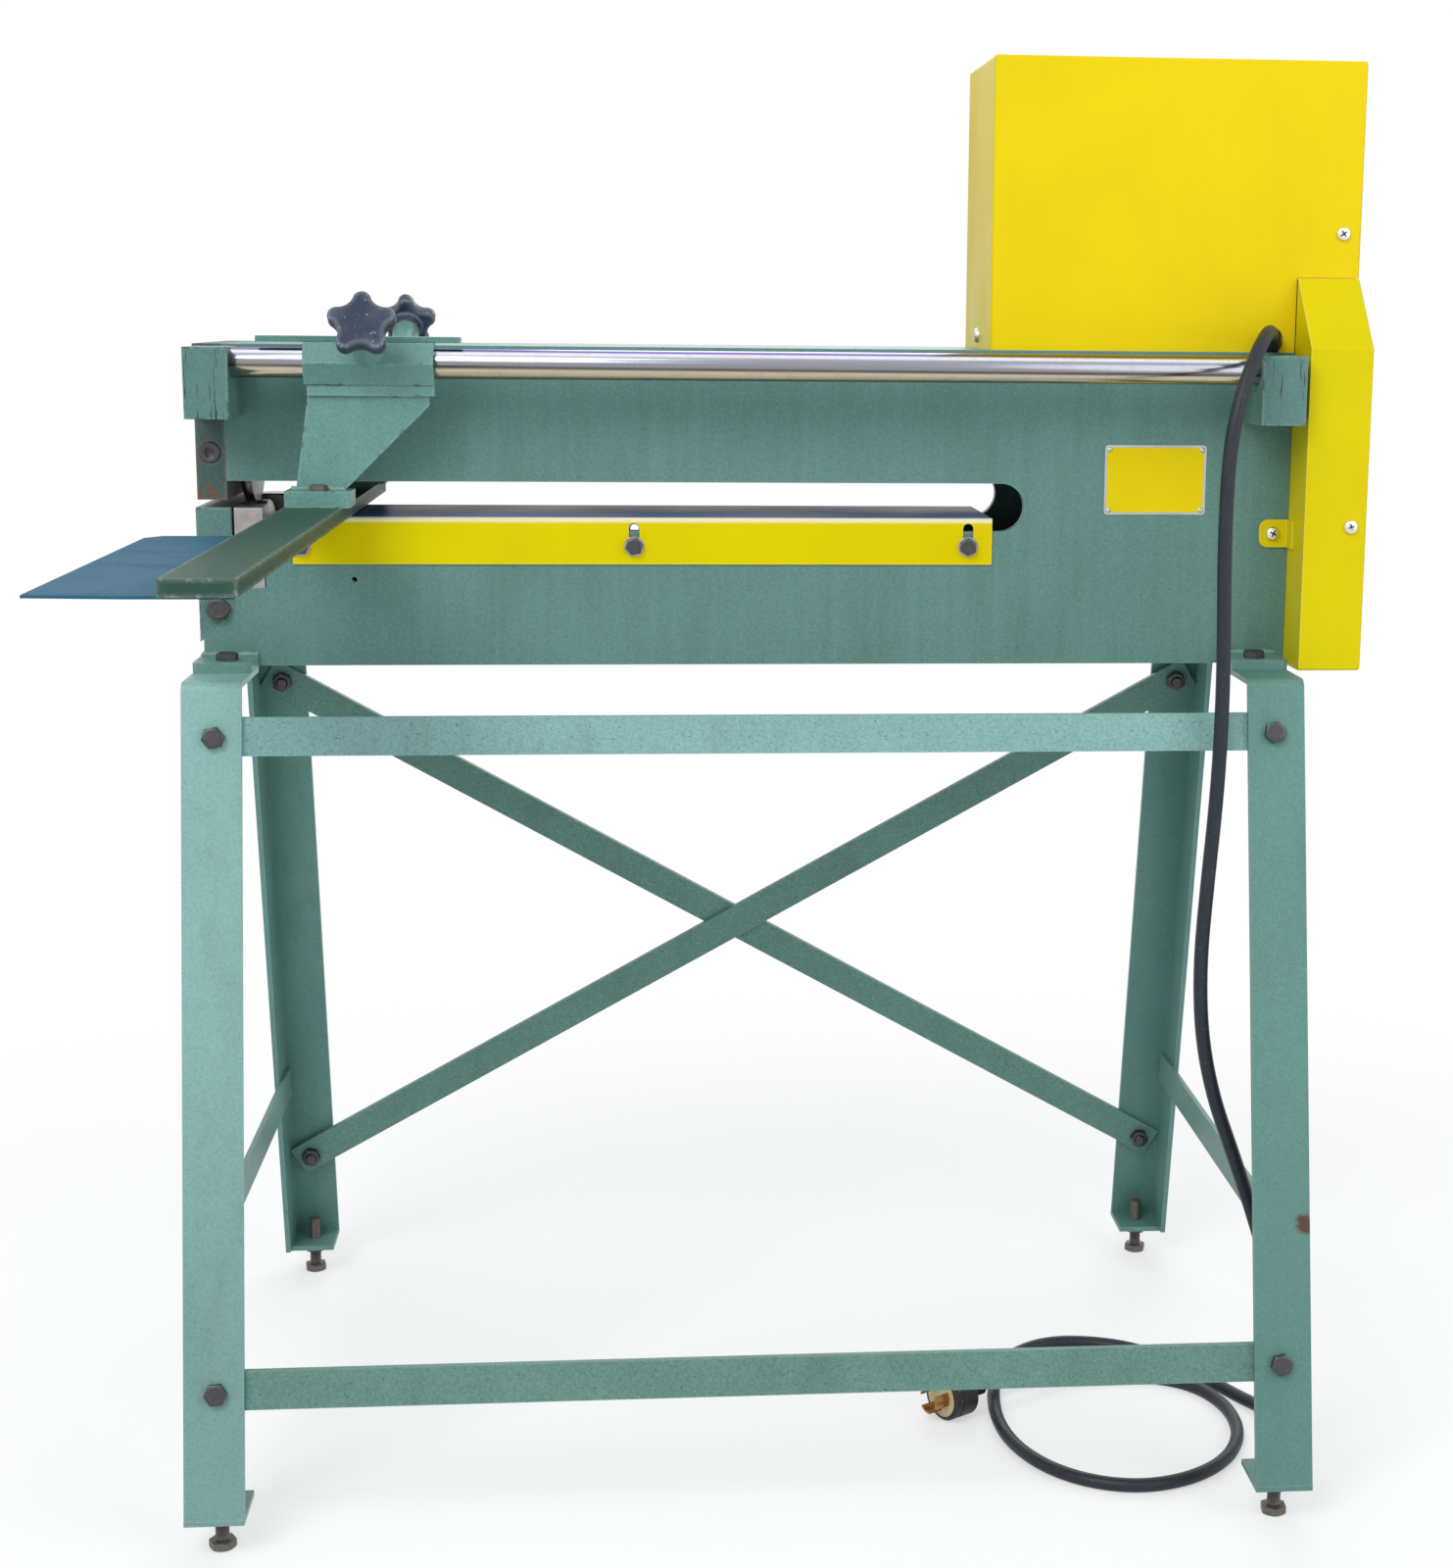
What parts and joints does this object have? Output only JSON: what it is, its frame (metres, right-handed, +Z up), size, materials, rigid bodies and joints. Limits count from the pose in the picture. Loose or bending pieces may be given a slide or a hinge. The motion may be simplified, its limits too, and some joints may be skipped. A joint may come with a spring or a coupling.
{
  "type": "sheet metal slitter",
  "caption": "Floor-standing powered sheet metal slitter: throat beam with two rotary cutters, sliding fence on guide bars, motor housing and a bolted splayed stand.",
  "frame": {"origin": "on the floor, below the middle of the machine's bounding box without its power cord", "axes": "+X along the beam from the cutters towards the drive end, +Y from the operator towards the back, +Z up"},
  "size_m": [1.0256, 1.07, 1.2541],
  "materials": {
    "green_paint": "hammered gloss enamel",
    "yellow_paint": "gloss enamel",
    "bare_steel": "machined",
    "dark_steel": "black oxide",
    "ground_bar": "ground and polished",
    "blued_sheet": "mill finish, bluish",
    "yellow_plate": "printed and satin",
    "zinc": "zinc plated",
    "black_plastic": "moulded",
    "cord_rubber": "matt",
    "plug_plastic": "satin",
    "motor_grey": "painted grey",
    "bronze": "plain"
  },
  "bodies": {
    "frame": {"arbor_bushes": "bronze", "bar_brackets": "green_paint", "beam_bottom_plate": "green_paint", "beam_top_plate": "green_paint", "bearing_blocks": "green_paint", "brace_bar_falling": "green_paint", "brace_bar_rising": "green_paint", "brace_washers": "dark_steel", "cord_gland": "cord_rubber", "cover_screws": "zinc", "cover_tabs": "yellow_paint", "drive_chain": "dark_steel", "drive_cover": "yellow_paint", "drive_end_plate": "green_paint", "end_block_bolts": "dark_steel", "front_side_plate": "green_paint", "gearbox": "motor_grey", "guard_bolts": "dark_steel", "guide_bars": "ground_bar", "guide_blocks": "bare_steel", "leg_front_left": "green_paint", "leg_front_right": "green_paint", "leg_rear_left": "green_paint", "leg_rear_right": "green_paint", "levelling_bolts": "dark_steel", "levelling_nuts": "dark_steel", "lower_end_block": "green_paint", "lower_front_rail": "green_paint", "motor": "motor_grey", "motor_base": "motor_grey", "motor_cover": "yellow_paint", "mounting_plates": "green_paint", "nameplate": "yellow_plate", "power_cord": "cord_rubber", "power_plug": "plug_plastic", "rear_side_plate": "green_paint", "shaft_guard": "yellow_paint", "side_rails": "green_paint", "stand_bolts": "dark_steel", "stand_nuts": "dark_steel", "upper_end_block": "green_paint", "upper_front_rail": "green_paint"},
    "lower_shaft": {"lower_arbor": "bare_steel", "lower_cutter": "bare_steel", "lower_gear": "bare_steel", "lower_sprocket": "bare_steel"},
    "upper_shaft": {"upper_arbor": "bare_steel", "upper_cutter": "bare_steel", "upper_gear": "bare_steel"},
    "output": {"output_shaft": "bare_steel", "drive_sprocket": "bare_steel"},
    "carriage": {"carriage_sleeves": "green_paint", "front_hanger": "green_paint", "rear_hanger": "green_paint", "foot_bolts": "dark_steel", "fence_bar": "green_paint", "support_sheet": "blued_sheet", "pointer_strip": "green_paint"},
    "front_knob": {"front_clamp_knob": "black_plastic"},
    "rear_knob": {"rear_clamp_knob": "black_plastic"}
  },
  "joints": [
    {"name": "lower_arbor_spin", "type": "hinge", "parent": "frame", "child": "lower_shaft", "pos_m": [-0.49575, 0.19695, 0.806], "axis": [1, 0, 0], "continuous": true, "deforming": ["drive_chain"]},
    {"name": "upper_arbor_spin", "type": "hinge", "parent": "frame", "child": "upper_shaft", "pos_m": [-0.49575, 0.19695, 0.914], "axis": [1, 0, 0], "continuous": true},
    {"name": "output_shaft_spin", "type": "hinge", "parent": "frame", "child": "output", "pos_m": [0.48925, 0.19695, 1.03166], "axis": [1, 0, 0], "continuous": true},
    {"name": "carriage_slide", "type": "slide", "parent": "frame", "child": "carriage", "axis": [1, 0, 0], "range_m": [-0.02, 0.565]},
    {"name": "front_knob_turn", "type": "hinge", "parent": "carriage", "child": "front_knob", "pos_m": [-0.35275, 0.04695, 0.9868], "axis": [0, -0.866, 0.5], "range_deg": [0, 360]},
    {"name": "rear_knob_turn", "type": "hinge", "parent": "carriage", "child": "rear_knob", "pos_m": [-0.35275, 0.34695, 0.9868], "axis": [0, 0.866, 0.5], "range_deg": [0, 360]}
  ],
  "couplings": [
    {"joint": "upper_arbor_spin", "follows": "lower_arbor_spin", "ratio": -1},
    {"joint": "output_shaft_spin", "follows": "lower_arbor_spin", "ratio": 2.5}
  ]
}
